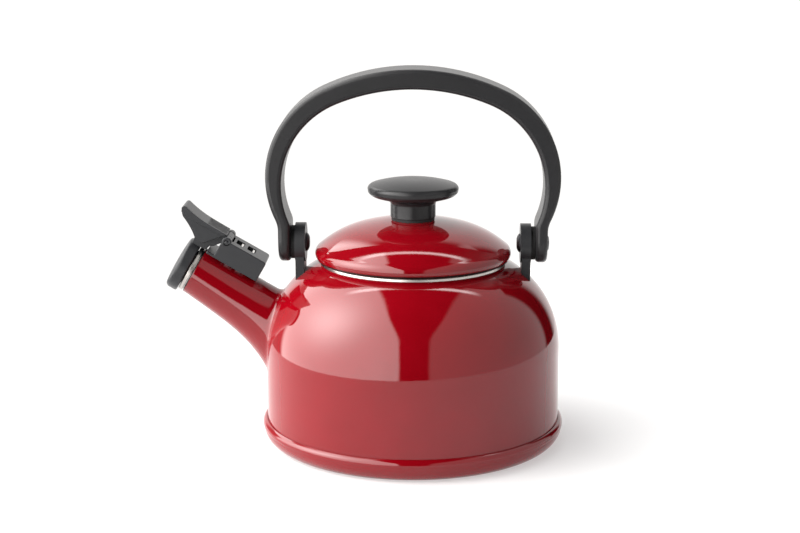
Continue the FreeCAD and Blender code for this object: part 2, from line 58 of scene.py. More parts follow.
WALL_RADIUS = millimetres("body_shell")[1].y
WALL_BOTTOM = millimetres("body_shell")[0].z
DOME_FOOT, DOME_ARC, SHEET = 51.0, 50.0, 1.5
OPENING_RADIUS = 47.2
BEAD_RADIUS = millimetres("base_pan")[1].y
BEAD_HEIGHT, BEAD_TOP, FOOT_RADIUS = 8.4, 12.4, 72.5
RIM_RADIUS, RIM_TOP, RING_SHEET = 49.3, millimetres("body_rim_ring")[1].z, 0.8
LID_RIM = millimetres("lid_shell")[1].y
LID_TOP, LID_SHEET = millimetres("lid_shell")[1].z, 1.3
# Height below which the lid's lowest faces get the dark ground coat, painted shade for the gap above the
# steel rim.
LID_GAP_SHADE_TOP = millimetres("lid_shell")[0].z + 1.5
LID_EDGE, LID_RIM_HEIGHT = (50.5, 98.2), 101.8
LID_SHOULDER, LID_CROWN = (49.5, 105.2), (30.0, 115.5)
LID_RIM_ARC, LID_SHOULDER_ARC, LID_CROWN_ARC = 4.6, 52.0, 112.0
KNOB_SCREW_HOLE = 2.2
KNOB_RADIUS = millimetres("knob")[1].y
KNOB_SEAT, KNOB_TOP = millimetres("knob")[0].z, millimetres("knob")[1].z
STEM_RADIUS, INSERT_RADIUS, INSERT_LENGTH = 11.9, 4.0, 9.0

SPOUT_TILT = math.radians(60)
SPOUT_TOP_LINE = 33.7
SPOUT_STATIONS = [(146.2, 13.0), (130.0, 13.9), (115.0, 14.95), (102.0, 16.6), (90.0, 19.3), (78.0, 23.4)]
SPOUT_MOUTH, MOUTH_RADIUS = SPOUT_STATIONS[0]
MOUTH_BORE, MOUTH_END = 10.4, 149.0
FILLET = 2.6

HINGE_ALONG, HINGE_ACROSS, PIN_RADIUS = 138.6, 44.8, 1.0
KNUCKLE_RADIUS, KNUCKLE_HALF_WIDTH, EAR_RADIUS = 2.4, 5.4, 2.5
HOUSING_BOTTOM, HOUSING_TOP, HOUSING_HALF_WIDTH = 34.0, 45.4, 10.6
HOUSING_BACK, HOUSING_FRONT = 115.0, 141.0
TONGUE_TOP, TONGUE_END = 35.6, 145.3
CAVITY_HALF_WIDTH, SLOT_HALF_WIDTH = 7.6, 4.2
TOP_SLOTS = [(129.4, 134), (122.6, 127.4)]
FLAP_INNER, FLAP_OUTER, FLAP_RADIUS, RECESS_RADIUS, VENT_RADIUS = 149.4, 155.8, 14.6, 11.2, 1.6
LEVER_HALF_WIDTH = 8.4


# ---------------------------------------------------------------- outlines and meshes

def arc_points(start, end, radius, step):
    """Points from start up to, but without, end; a positive radius has its centre on the left."""
    chord = end - start
    half = chord.length / 2
    side = 1 if radius > 0 else -1
    normal = Vector((-chord.y, chord.x)).normalized()
    centre = (start + end) / 2 + normal * side * math.sqrt(max(radius * radius - half * half, 0))
    first = math.atan2(start.y - centre.y, start.x - centre.x)
    sweep = 2 * math.asin(min(1, half / abs(radius))) * side
    count = max(3, math.ceil(abs(sweep * radius) / step))
    return [centre + Vector((math.cos(first + sweep * n / count), math.sin(first + sweep * n / count)))
            * abs(radius) for n in range(count)]


def softened(points, edge):
    """Closed outline with every sharp corner turned into a small curve."""
    result = []
    count = len(points)
    for number, point in enumerate(points):
        before, after = points[number - 1], points[(number + 1) % count]
        arriving, leaving = point - before, after - point
        turn = abs(arriving.angle_signed(leaving)) if arriving.length and leaving.length else 0
        on_axis = abs(point.x) < 1e-6
        if turn < math.radians(14) or on_axis or edge <= 0:
            result.append(point)
            continue
        reach = min(edge, arriving.length * 0.42, leaving.length * 0.42)
        enter = point - arriving.normalized() * reach
        leave = point + leaving.normalized() * reach
        for share in (0, 0.25, 0.5, 0.75, 1):
            result.append(enter * (1 - share) ** 2 + point * 2 * share * (1 - share) + leave * share ** 2)
    return result


def outline(corners, step=1.2, edge=0.35):
    """Outline from (radius, height) corners; a third number is the arc radius of the next side."""
    points = []
    count = len(corners)
    for number, corner in enumerate(corners):
        start = Vector(corner[:2])
        end = Vector(corners[(number + 1) % count][:2])
        points += arc_points(start, end, corner[2], step) if len(corner) == 3 else [start]
    return softened(points, edge)


def new_piece(name, mesh_builder, material, body, nodes):
    """Mesh object from a bmesh; it rides on a body and stands for the named CAD nodes."""
    bmesh.ops.recalc_face_normals(mesh_builder, faces=mesh_builder.faces)
    mesh = bpy.data.meshes.new(name)
    for face in mesh_builder.faces:
        face.smooth = True
    mesh_builder.to_mesh(mesh)
    mesh_builder.free()
    piece = bpy.data.objects.new(name, mesh)
    scene.collection.objects.link(piece)
    mesh.materials.append(material)
    if body:
        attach(piece, body)
        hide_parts(*nodes)
    return piece


def turned_mesh(points, segments=192, place=Matrix()):
    """bmesh of a closed outline, in millimetres, turned about its own vertical axis."""
    builder = bmesh.new()
    rings = []
    for point in points:
        if abs(point.x) < 1e-6:
            rings.append([builder.verts.new(place @ Vector((0, 0, point.y * MM)))])
            continue
        angles = [2 * math.pi * n / segments for n in range(segments)]
        rings.append([builder.verts.new(place @ Vector((math.cos(a) * point.x * MM,
                                                        math.sin(a) * point.x * MM, point.y * MM)))
                      for a in angles])
    for number, ring in enumerate(rings):
        following = rings[(number + 1) % len(rings)]
        if len(ring) == 1 and len(following) == 1:
            continue
        for n in range(segments):
            m = (n + 1) % segments
            if len(ring) == 1:
                builder.faces.new((ring[0], following[n], following[m]))
            elif len(following) == 1:
                builder.faces.new((ring[n], following[0], ring[m]))
            else:
                builder.faces.new((ring[n], following[n], following[m], ring[m]))
    return builder


def turned(name, corners, material, body, slot, *nodes, step=1.2, edge=0.35, place=Matrix()):
    builder = turned_mesh(outline(corners, step, edge), place=place)
    piece = new_piece(name, builder, material, body, nodes)
    weighted = piece.modifiers.new("even_shading", "WEIGHTED_NORMAL")
    weighted.keep_sharp = True
    return piece


def shade_by_angle(piece):
    """Smooth shading that breaks at sharp edges."""
    piece.data.set_sharp_from_angle(angle=math.radians(38))
    weighted = piece.modifiers.new("even_shading", "WEIGHTED_NORMAL")
    weighted.keep_sharp = True


def gap_shade_edge(piece, direction, start):
    """Give the faces beyond a distance, in millimetres, along a direction the dark ground coat, as painted
    shade for the shadow gap at that edge.
    """
    piece.data.materials.append(ground_coat_and_gap_shade)
    for face in piece.data.polygons:
        if face.center.dot(direction) > start * MM:
            face.material_index = 1


def cut_away(piece, *cutters):
    """Take the cutters out of the piece's mesh, then delete them."""
    piece.modifiers.clear()
    for cutter in cutters:
        hole = piece.modifiers.new("hole", "BOOLEAN")
        hole.object = cutter
        hole.solver = "EXACT"
    bpy.context.view_layer.update()
    graph = bpy.context.evaluated_depsgraph_get()
    remains = bpy.data.meshes.new_from_object(piece.evaluated_get(graph))
    piece.modifiers.clear()
    piece.data = remains
    for cutter in cutters:
        bpy.data.objects.remove(cutter)


# ---------------------------------------------------------------- materials

NOISE_SPAN = (0.3, 0.7)
EVEN_WHITE = (1, 1, 1, 1)


def node_material(name):
    material = bpy.data.materials.new(name)
    material.use_nodes = True
    tree = material.node_tree
    shader = tree.nodes["Principled BSDF"]
    place = tree.nodes.new("ShaderNodeTexCoord")
    return material, tree, shader, place.outputs["Object"]


def noise(tree, source, scale, detail=3.0, stretch=None):
    """Noise texture over object coordinates, optionally squeezed along each axis."""
    if stretch:
        mapping = tree.nodes.new("ShaderNodeMapping")
        mapping.inputs["Scale"].default_value = stretch
        tree.links.new(source, mapping.inputs["Vector"])
        source = mapping.outputs["Vector"]
    texture = tree.nodes.new("ShaderNodeTexNoise")
    texture.inputs["Scale"].default_value = scale
    texture.inputs["Detail"].default_value = detail
    tree.links.new(source, texture.inputs["Vector"])
    return texture.outputs["Fac"]


def ranged(tree, source, low, high, into):
    """Source remapped to low..high and linked to the socket called into."""
    remap = tree.nodes.new("ShaderNodeMapRange")
    remap.inputs["From Min"].default_value, remap.inputs["From Max"].default_value = NOISE_SPAN
    remap.inputs["To Min"].default_value = low
    remap.inputs["To Max"].default_value = high
    tree.links.new(source, remap.inputs["Value"])
    if into is not None:
        tree.links.new(remap.outputs["Result"], into)
    return remap.outputs["Result"]


def two_tone(tree, source, dark, light, into):
    ramp = tree.nodes.new("ShaderNodeMix")
    ramp.data_type = "RGBA"
    ramp.inputs["A"].default_value = (*dark, 1)
    ramp.inputs["B"].default_value = (*light, 1)
    tree.links.new(source, ramp.inputs["Factor"])
    tree.links.new(ramp.outputs["Result"], into)


def bumped(tree, shader, height, distance):
    bump = tree.nodes.new("ShaderNodeBump")
    bump.inputs["Strength"].default_value = 1.0
    bump.inputs["Distance"].default_value = distance
    tree.links.new(height, bump.inputs["Height"])
    tree.links.new(bump.outputs["Normal"], shader.inputs["Normal"])


def enamel(name):
    """Vitreous enamel: deep colour, wet gloss, the faintest orange peel and cloudiness."""
    material, tree, shader, place = node_material(name)
    cloud = ranged(tree, noise(tree, place, 55, 4), 0, 1, None)
    two_tone(tree, cloud, (0.155, 0.0006, 0.0032), (0.17, 0.0009, 0.0042), shader.inputs["Base Color"])
    ranged(tree, noise(tree, place, 140, 3), 0.035, 0.06, shader.inputs["Roughness"])
    bumped(tree, shader, noise(tree, place, 420, 2), 0.000006)
    shader.inputs["IOR"].default_value = 1.5
    return material


def moulded(name, colour, roughness, grain=0.00001):
    """Heat-proof plastic: fine moulded grain and slightly uneven gloss."""
    material, tree, shader, place = node_material(name)
    grime = ranged(tree, noise(tree, place, 90, 5), 0, 1, None)
    two_tone(tree, grime, [c * 0.93 for c in colour], [c * 1.07 for c in colour],
             shader.inputs["Base Color"])
    ranged(tree, noise(tree, place, 1400, 3), roughness - 0.015, roughness + 0.025,
           shader.inputs["Roughness"])
    bumped(tree, shader, noise(tree, place, 2600, 2), grain)
    shader.inputs["IOR"].default_value = 1.36
    return material


def metal(name, colour, roughness, stretch=(1, 1, 30), grain=0.0000015):
    """Steel or brass with fine turned or drawn grain."""
    material, tree, shader, place = node_material(name)
    lines = noise(tree, place, 160, 4, stretch)
    two_tone(tree, ranged(tree, lines, 0, 1, None), [c * 0.95 for c in colour], colour,
             shader.inputs["Base Color"])
    ranged(tree, lines, roughness * 0.9, roughness * 1.15, shader.inputs["Roughness"])
    bumped(tree, shader, lines, grain)
    shader.inputs["Metallic"].default_value = 1.0
    return material


red = enamel("red_enamel")
# Near-black ground coat, used as painted shade: it stands for the shadow in the gaps under the lid rim and
# inside the spout's steel mouth ring.
ground_coat_and_gap_shade = moulded("ground_coat_and_gap_shade", (0.006, 0.004, 0.004), 0.3)
STEEL = (0.80, 0.78, 0.75)
rim_steel = metal("rim_steel", (0.47, 0.445, 0.42), 0.28, (1, 1, 1), 0.0000002)
plain_steel = metal("plain_steel", STEEL, 0.3)
screw_steel = metal("screw_steel", (0.62, 0.62, 0.63), 0.28)
dark_steel = metal("blackened_steel", (0.06, 0.06, 0.065), 0.4)
brass = metal("brass", (0.78, 0.55, 0.25), 0.3)
charcoal = moulded("charcoal_plastic", (0.0135, 0.0135, 0.0145), 0.32)
whistle_charcoal = moulded("whistle_plastic", (0.019, 0.02, 0.022), 0.33)
coated_black = moulded("black_coating", (0.014, 0.0145, 0.016), 0.34, 0.000012)
# The pivot washers are real plastic parts, but their near-black colour is painted shade for the shadow gap
# between the grip and its lugs.
washer_and_gap_shade = moulded("washer_plastic_and_gap_shade", (0.003, 0.003, 0.003), 0.7)
rubber = moulded("gasket_rubber", (0.012, 0.012, 0.012), 0.62)
acetal = moulded("acetal", (0.55, 0.54, 0.5), 0.4)

CAD_FINISHES = {
    "body_rim_ring": rim_steel, "spout_rim_ring": rim_steel, "lid_seat_ring": rim_steel,
    "handle_bracket_left": coated_black, "handle_bracket_right": coated_black,
    "pivot_screw_left": dark_steel, "pivot_screw_right": dark_steel,
    "pivot_nut_left": dark_steel, "pivot_nut_right": dark_steel,
    "pivot_washer_left": washer_and_gap_shade, "pivot_washer_right": washer_and_gap_shade,
    "pivot_bush_left": acetal, "pivot_bush_right": acetal,
    "whistle_clip": plain_steel, "detent_spring": plain_steel, "flap_hinge_pin": dark_steel,
    "whistle_housing": whistle_charcoal, "whistle_flap": whistle_charcoal,
    "whistle_disc_outer": plain_steel, "whistle_disc_inner": plain_steel,
    "knob_gasket": rubber, "knob_insert": brass, "knob_screw": screw_steel, "knob_washer": screw_steel,
    "handle_grip": charcoal,
    "body_shell": red, "base_pan": red, "spout": red, "lid_shell": red, "knob": charcoal,
}
for node, finish in CAD_FINISHES.items():
    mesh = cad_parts[node].data
    mesh.materials.clear()
    mesh.materials.append(finish)


# ---------------------------------------------------------------- enamelled body and base

def dome_height(radius, inset=0.0):
    """Height of the dome's outer face, or of the face inset from it, at a radius."""
    return DOME_FOOT + math.sqrt((DOME_ARC - inset) ** 2 - (radius - WALL_RADIUS + DOME_ARC) ** 2)


WALL_BANDS = 12
wall_levels = [WALL_BOTTOM + (DOME_FOOT - WALL_BOTTOM) * n / WALL_BANDS for n in range(WALL_BANDS)]
BODY = [
    (WALL_RADIUS - SHEET, WALL_BOTTOM),
    *((WALL_RADIUS, level) for level in wall_levels),
    (WALL_RADIUS, DOME_FOOT, DOME_ARC),
    (OPENING_RADIUS, dome_height(OPENING_RADIUS)),
    (OPENING_RADIUS, dome_height(OPENING_RADIUS, SHEET), -(DOME_ARC - SHEET)),
    (WALL_RADIUS - SHEET, DOME_FOOT),
    *((WALL_RADIUS - SHEET, level) for level in reversed(wall_levels[1:])),
]
body = turned("enamel_body", BODY, red, "kettle", "body_enamel", "body_shell")

BASE = [
    (0, 0),
    (FOOT_RADIUS, 0, 9),
    (BEAD_RADIUS, BEAD_HEIGHT, 2.9),
    (WALL_RADIUS + 0.35, BEAD_TOP),
    (WALL_RADIUS + 0.02, BEAD_TOP - 0.1),
    (WALL_RADIUS + 0.02, WALL_BOTTOM),
    (WALL_RADIUS - SHEET, WALL_BOTTOM, -6.5),
    (FOOT_RADIUS - 1, SHEET),
    (0, SHEET),
]
turned("enamel_base", BASE, red, "kettle", "base_enamel", "base_pan", step=0.5, edge=0.2)


# ---------------------------------------------------------------- spout, blended into the body

ALONG = Vector((-math.sin(SPOUT_TILT), 0, math.cos(SPOUT_TILT)))
ACROSS = Vector((math.cos(SPOUT_TILT), 0, math.sin(SPOUT_TILT)))
SIDEWAYS = Vector((0, 1, 0))
SPOUT_TURNS = 128
# Width of the dark ground-coat band at the spout's mouth, painted shade for the gap under the steel ring.
GAP_SHADE_EDGE = 0.4


def spout_radius(along):
    """Smooth curve through the spout's stations."""
    stations = sorted(SPOUT_STATIONS)
    along = min(max(along, stations[0][0]), stations[-1][0])
    slopes = []
    for n in range(len(stations)):
        low, high = stations[max(n - 1, 0)], stations[min(n + 1, len(stations) - 1)]
        slopes.append((high[1] - low[1]) / (high[0] - low[0]))
    for n in range(len(stations) - 1):
        (a, ra), (b, rb) = stations[n], stations[n + 1]
        if along <= b:
            break
    width = b - a
    t = (along - a) / width
    return ((2 * t ** 3 - 3 * t ** 2 + 1) * ra + (t ** 3 - 2 * t ** 2 + t) * width * slopes[n]
            + (3 * t ** 2 - 2 * t ** 3) * rb + (t ** 3 - t ** 2) * width * slopes[n + 1])


def spout_point(along, angle, inset=0.0):
    radius = spout_radius(along)
    centre = SPOUT_TOP_LINE - radius
    ring = ACROSS * (centre + (radius - inset) * math.cos(angle))
    return ALONG * along + ring + SIDEWAYS * (radius - inset) * math.sin(angle)


def outside_body(point, inset=0.0):
    """Distance of a point outside the body's outer face, or outside the face inset from it."""
    radius = math.hypot(point.x, point.y)
    if point.z <= DOME_FOOT:
        return radius - WALL_RADIUS + inset
    return math.hypot(radius - WALL_RADIUS + DOME_ARC, point.z - DOME_FOOT) - DOME_ARC + inset


def body_normal(point):
    radius = math.hypot(point.x, point.y)
    level = max(point.z - DOME_FOOT, 0)
    flat = Vector((point.x / radius, point.y / radius, 0))
    out = radius - WALL_RADIUS + DOME_ARC if level else 1
    return (flat * out + Vector((0, 0, level))).normalized()


def on_body(point, lift=0.0):
    """The point moved along the body's normal until it is lift above its outer face."""
    for _ in range(4):
        point = point - body_normal(point) * (outside_body(point) - lift)
    return point


def meeting(angle, inset=0.0, depth=0.0):
    """How far along its axis the spout's line at this angle meets the body."""
    low, high = 70.0, SPOUT_MOUTH
    for _ in range(40):
        middle = (low + high) / 2
        if outside_body(spout_point(middle, angle, inset), depth) > 0:
            high = middle
        else:
            low = middle
    return high


def spout_rings():
    """Rings of points, in millimetres, from the mouth down over the fillet and back up the bore."""
    angles = [2 * math.pi * n / SPOUT_TURNS for n in range(SPOUT_TURNS)]
    meets = [meeting(a) for a in angles]
    feet = [spout_point(m, a) for m, a in zip(meets, angles)]
    starts = [m + FILLET * 1.25 for m in meets]
    rings = [[spout_point(SPOUT_MOUTH, a, 1.2) for a in angles],
             [spout_point(SPOUT_MOUTH, a, 0.35) for a in angles],
             [spout_point(SPOUT_MOUTH - 0.1, a, 0.1) for a in angles],
             [spout_point(SPOUT_MOUTH - 0.35, a) for a in angles],
             [spout_point(SPOUT_MOUTH - 2 * GAP_SHADE_EDGE, a) for a in angles]]
    steps = 44
    for step in range(1, steps + 1):
        share = step / steps
        rings.append([spout_point((SPOUT_MOUTH - 2 * GAP_SHADE_EDGE) * (1 - share) + s * share, a)
                      for s, a in zip(starts, angles)])
    ends, departures = [], []
    for n, foot in enumerate(feet):
        tangent = feet[(n + 1) % SPOUT_TURNS] - feet[n - 1]
        away = body_normal(foot).cross(tangent).normalized()
        middle = spout_point(meets[n], angles[n], spout_radius(meets[n]))
        if away.dot(foot - middle) < 0:
            away = -away
        ends.append(on_body(foot + away * FILLET, 0.015))
        normal = body_normal(ends[-1])
        departures.append((away - normal * away.dot(normal)).normalized())
    turns = 12
    for step in range(1, turns + 1):
        t = step / turns
        ring = []
        for n, angle in enumerate(angles):
            start, end = spout_point(starts[n], angle), ends[n]
            down = (spout_point(starts[n] - 0.2, angle) - start).normalized()
            pull = (end - start).length * 0.42
            first, second = start + down * pull, end - departures[n] * pull
            ring.append(start * (1 - t) ** 3 + first * 3 * t * (1 - t) ** 2
                        + second * 3 * t ** 2 * (1 - t) + end * t ** 3)
        rings.append(ring)
    rings.append([end - body_normal(end) * 0.7 for end in ends])
    bores = [meeting(a, SHEET, SHEET + 0.3) for a in angles]
    rings.append([spout_point(b, a, SHEET) for b, a in zip(bores, angles)])
    for step in range(1, 25):
        share = step / 24
        rings.append([spout_point(b * (1 - share) + SPOUT_MOUTH * share, a, SHEET)
                      for b, a in zip(bores, angles)])
    return rings


def ring_mesh(rings, closed=True):
    builder = bmesh.new()
    made = [[builder.verts.new(point * MM) for point in ring] for ring in rings]
    count = len(made)
    for number in range(count if closed else count - 1):
        ring, following = made[number], made[(number + 1) % count]
        for n in range(len(ring)):
            m = (n + 1) % len(ring)
            builder.faces.new((ring[n], ring[m], following[m], following[n]))
    if not closed:
        builder.faces.new(made[0])
        builder.faces.new(made[-1])
    return builder


spout = new_piece("enamel_spout", ring_mesh(spout_rings()), red, "kettle", ["spout"])
# Painted shade: the mouth edge is darkened to stand for the shadow gap under the steel mouth ring.
gap_shade_edge(spout, ALONG, SPOUT_MOUTH - GAP_SHADE_EDGE)

bore_angles = [2 * math.pi * n / 64 for n in range(64)]
bore_levels = [SPOUT_STATIONS[-1][0] + 3 * n for n in range(14)]
cutter = new_piece("spout_bore", ring_mesh([[spout_point(level, a, SHEET - 0.05) for a in bore_angles]
                                            for level in bore_levels], closed=False), red, "", [])
cut_away(body, cutter)
shade_by_angle(body)


# ---------------------------------------------------------------- lid and knob

def lid_face(inset):
    """Outer face of the lid, or the face inset from it, from the edge to the middle."""
    return [
        (LID_EDGE[0] - inset, LID_EDGE[1], LID_RIM_ARC - inset * 0.9),
        (LID_RIM - 0.02 - inset, LID_RIM_HEIGHT, LID_RIM_ARC - inset * 0.9),
        (LID_SHOULDER[0] - inset * 0.75, LID_SHOULDER[1] - inset * 0.7, LID_SHOULDER_ARC - inset),
        (LID_CROWN[0] - inset * 0.2, LID_CROWN[1] - inset, LID_CROWN_ARC - inset),
        (KNOB_SCREW_HOLE, LID_TOP - inset),
    ]


def reversed_face(face):
    """The same face walked the other way, so its arcs change sides."""
    walked = []
    for number in range(len(face) - 1, -1, -1):
        before = face[number - 1] if number > 0 else ()
        arc = (-before[2],) if len(before) == 3 else ()
        walked.append(face[number][:2] + arc)
    return walked


lid = turned("enamel_lid", lid_face(0.0) + reversed_face(lid_face(LID_SHEET)), red, "lid",
             "lid_enamel", "lid_shell", step=0.9, edge=0.3)
# Painted shade: the lid's lowest faces are darkened to stand for the shadow gap above the steel rim.
gap_shade_edge(lid, Vector((0, 0, -1)), -LID_GAP_SHADE_TOP)

KNOB = [
    (INSERT_RADIUS, KNOB_SEAT),
    (STEM_RADIUS, KNOB_SEAT),
    (STEM_RADIUS, KNOB_TOP - 13.2, -3),
    (STEM_RADIUS + 2.4, KNOB_TOP - 10.7),
    (KNOB_RADIUS - 3.4, KNOB_TOP - 8.9, 5),
    (KNOB_RADIUS - 0.3, KNOB_TOP - 6.7),
    (KNOB_RADIUS, KNOB_TOP - 4.9, 2.6),
    (KNOB_RADIUS - 1.8, KNOB_TOP - 2.8, 67),
    (3, KNOB_TOP),
    (0, KNOB_TOP),
    (0, KNOB_SEAT + INSERT_LENGTH),
    (INSERT_RADIUS, KNOB_SEAT + INSERT_LENGTH),
]
turned("moulded_knob", KNOB, charcoal, "lid", "knob_plastic", "knob", step=0.6, edge=0.5)


# ---------------------------------------------------------------- steel rings

RIM_RING = [
    (OPENING_RADIUS - RING_SHEET, RIM_TOP - 4.5),
    (OPENING_RADIUS - 0.05, RIM_TOP - 4.5),
    (OPENING_RADIUS - 0.05, dome_height(OPENING_RADIUS)),
    (RIM_RADIUS, dome_height(RIM_RADIUS)),
    (RIM_RADIUS, RIM_TOP - 0.7, 0.7),
    (RIM_RADIUS - 0.7, RIM_TOP),
    (OPENING_RADIUS - RING_SHEET, RIM_TOP),
]
turned("steel_rim", RIM_RING, rim_steel, "kettle", "rim_steel", "body_rim_ring", step=0.2, edge=0.2)

mouth_frame = Matrix((
    (ACROSS.x, SIDEWAYS.x, ALONG.x, ACROSS.x * (SPOUT_TOP_LINE - MOUTH_RADIUS) * MM),
    (ACROSS.y, SIDEWAYS.y, ALONG.y, 0),
    (ACROSS.z, SIDEWAYS.z, ALONG.z, ACROSS.z * (SPOUT_TOP_LINE - MOUTH_RADIUS) * MM),
    (0, 0, 0, 1),
))
MOUTH_RING = [
    (MOUTH_BORE, SPOUT_MOUTH - 7),
    (MOUTH_BORE + 0.8, SPOUT_MOUTH - 7),
    (MOUTH_BORE + 0.8, SPOUT_MOUTH + 0.1),
    (MOUTH_RADIUS - 1, SPOUT_MOUTH + 0.1),
    (MOUTH_RADIUS - 1, SPOUT_MOUTH + 0.7),
    (MOUTH_RADIUS - 0.1, SPOUT_MOUTH + 0.7),
    (MOUTH_RADIUS - 0.1, MOUTH_END - 0.6, 0.6),
    (MOUTH_RADIUS - 0.7, MOUTH_END),
    (MOUTH_BORE, MOUTH_END),
]
turned("steel_mouth", MOUTH_RING, rim_steel, "kettle", "rim_steel", "spout_rim_ring", step=0.2, edge=0.2,
       place=mouth_frame)


# ---------------------------------------------------------------- whistle housing and flap

def spout_place(across, sideways, along):
    return (ACROSS * across + SIDEWAYS * sideways + ALONG * along) * MM


def plate_mesh(corners, half_width, edge):
    """Plate with rounded edges; its outline is (across, along) the spout, about the middle plane."""
    points = outline(corners, step=0.5, edge=0)
    builder = bmesh.new()
    near, far = ([builder.verts.new(spout_place(point.x, side * half_width, point.y)) for point in points]
                 for side in (-1, 1))
    builder.faces.new(near)
    builder.faces.new(far)
    for n in range(len(points)):
        m = (n + 1) % len(points)
        builder.faces.new((near[n], near[m], far[m], far[n]))
    bmesh.ops.recalc_face_normals(builder, faces=builder.faces)
    sharp = [side for side in builder.edges if side.calc_face_angle(0) > math.radians(32)]
    bmesh.ops.bevel(builder, geom=sharp, offset=edge * MM, segments=3, profile=0.5, affect="EDGES",
                    clamp_overlap=True)
    return builder


def plate(name, corners, half_width, edge, body, slot, *nodes):
    return new_piece(name, plate_mesh(corners, half_width, edge), whistle_charcoal, body, nodes)


def box_cutter(low, high):
    """Box between two (across, sideways, along) corners, to cut with."""
    corners = [(low[0], low[2]), (high[0], low[2]), (high[0], high[2]), (low[0], high[2])]
    builder = plate_mesh(corners, (high[1] - low[1]) / 2, 0)
    return new_piece("cutter", builder, whistle_charcoal, "", [])


HOUSING = [
    (HOUSING_BOTTOM, HOUSING_BACK),
    (HOUSING_TOP - 1.5, HOUSING_BACK, 1.5),
    (HOUSING_TOP, HOUSING_BACK + 1.5),
    (HOUSING_TOP, HINGE_ALONG + 0.4),
    (HINGE_ACROSS - 2.5, HOUSING_FRONT),
    (TONGUE_TOP, HOUSING_FRONT),
    (TONGUE_TOP, TONGUE_END),
    (HOUSING_BOTTOM, TONGUE_END),
]
housing = plate("whistle_housing_shape", HOUSING, HOUSING_HALF_WIDTH, 0.5, "kettle", "whistle_plastic",
                "whistle_housing")
HINGE_SIDE_GAP = 0.3
notch = KNUCKLE_HALF_WIDTH + HINGE_SIDE_GAP
cavity = box_cutter((20, -CAVITY_HALF_WIDTH, HOUSING_BACK + 1.8),
                    (HOUSING_TOP - 1.9, CAVITY_HALF_WIDTH, HINGE_ALONG - 3))
knuckle_room = box_cutter((HINGE_ACROSS - 4.9, -notch, HINGE_ALONG - 3.2), (HOUSING_TOP + 4, notch, 150))
slots = [box_cutter((HOUSING_TOP - 4, -SLOT_HALF_WIDTH, back), (HOUSING_TOP + 4, SLOT_HALF_WIDTH, front))
         for back, front in TOP_SLOTS]
cut_away(housing, cavity, knuckle_room, *slots)
shade_by_angle(housing)

HINGE = spout_place(HINGE_ACROSS, 0, HINGE_ALONG)


def hinge_place(middle):
    """Frame whose vertical axis lies along the flap's hinge, with its middle moved sideways."""
    return Matrix.Translation(HINGE + SIDEWAYS * middle * MM) @ Matrix.Rotation(-math.pi / 2, 4, "X")


def hinge_sleeve(name, bore, radius, half_width, middle, body, *nodes):
    turned(name, [(bore, -half_width), (radius, -half_width), (radius, half_width), (bore, half_width)],
           whistle_charcoal, body, "whistle_plastic", *nodes, step=0.3, edge=0.5,
           place=hinge_place(middle))


ear_half = (HOUSING_HALF_WIDTH - notch) / 2
for side, name in ((-1, "whistle_ear_front"), (1, "whistle_ear_back")):
    hinge_sleeve(name, PIN_RADIUS, EAR_RADIUS, ear_half, side * (notch + ear_half), "kettle",
                 "whistle_housing")
hinge_sleeve("whistle_knuckle", PIN_RADIUS + 0.05, KNUCKLE_RADIUS, KNUCKLE_HALF_WIDTH, 0, "flap",
             "whistle_flap")

FLAP_CAP = [
    (VENT_RADIUS, FLAP_OUTER + 0.8),
    (3, FLAP_OUTER + 0.8, -75),
    (FLAP_RADIUS - 2.2, FLAP_OUTER + 0.2, -2.4),
    (FLAP_RADIUS, FLAP_OUTER - 2.2),
    (FLAP_RADIUS, FLAP_INNER + 0.8, -0.8),
    (FLAP_RADIUS - 0.8, FLAP_INNER),
    (RECESS_RADIUS, FLAP_INNER),
    (RECESS_RADIUS, FLAP_INNER + 6),
    (VENT_RADIUS, FLAP_INNER + 6),
]
turned("whistle_cap", FLAP_CAP, whistle_charcoal, "flap", "whistle_plastic", "whistle_flap", step=0.4,
       edge=0.3, place=mouth_frame)
LEVER_WEB = [
    (38.6, 148.2),
    (37.0, 149.6),
    (37.4, 154),
    (39.6, 156.6, 40),
    (44.4, 164.9, -7),
    (48.6, 167.7, -1.6),
    (50.2, 166, 60),
    (47.9, 152, 400),
    (47.7, 140.3),
]
LEVER_TOP = [
    (46.6, 167),
    (48.6, 167.9, -1.6),
    (50.2, 166.2, 60),
    (47.9, 152, 400),
    (47.7, 140.3),
    (46, 141.8),
    (45.8, 152, -62),
]
NECK = [
    (32, 149.5),
    (32, 154.5),
    (37, 154.5),
    (40, 156),
    (46, 155),
    (47.3, 142),
    (HINGE_ACROSS + 1.8, HINGE_ALONG + 1.2),
    (HINGE_ACROSS - 1.8, HINGE_ALONG + 1.2),
    (38.2, 143.6),
    (37.2, 145.4),
    (34.3, 146.2),
    (34.3, 149.5),
]
for name, corners, half_width, edge in (
        ("whistle_lever_web", LEVER_WEB, LEVER_HALF_WIDTH - 1.2, 0.5),
        ("whistle_lever_top", LEVER_TOP, LEVER_HALF_WIDTH, 0.7),
        ("whistle_neck", NECK, KNUCKLE_HALF_WIDTH, 0.3)):
    shade_by_angle(plate(name, corners, half_width, edge, "flap", "whistle_plastic", "whistle_flap"))


# ---------------------------------------------------------------- floor, light and camera

